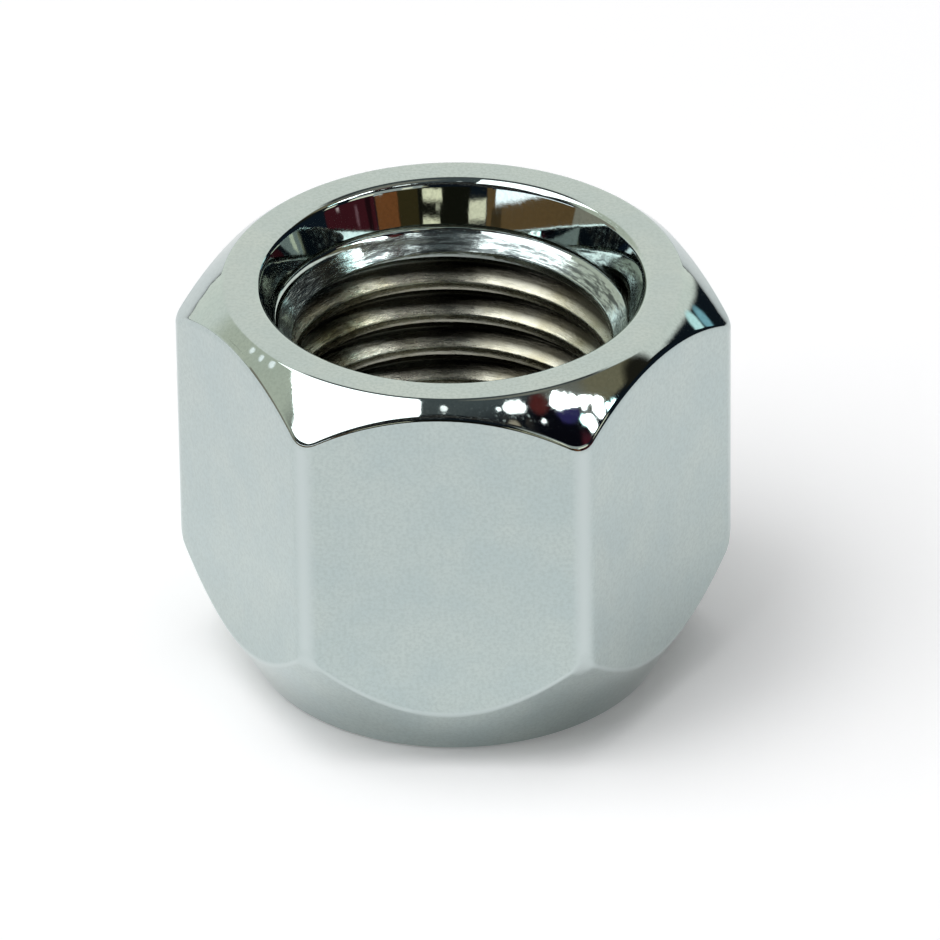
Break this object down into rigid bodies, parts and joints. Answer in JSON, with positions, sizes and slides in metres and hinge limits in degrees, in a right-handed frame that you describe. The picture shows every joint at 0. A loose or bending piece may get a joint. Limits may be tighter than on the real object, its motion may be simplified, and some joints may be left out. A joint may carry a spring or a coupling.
{
  "type": "lug nut",
  "caption": "Hexagonal wheel nut with an open threaded bore, a chamfered wide end with a counterbore, and a conical seat that narrows to a flat ring.",
  "frame": {"origin": "centre of the flat ring at the small seat end, on the bore's axis", "axes": "+Z along the bore axis from the seat end to the wide counterbored end, -Y square to one wrench flat, X through two opposite corners of the hexagon"},
  "size_m": [0.0216, 0.019, 0.0165],
  "materials": {
    "plated_steel": "bright chrome plate over polished steel, bare lightly oiled thread"
  },
  "bodies": {
    "root": {"lug_nut": "plated_steel"}
  },
  "joints": []
}
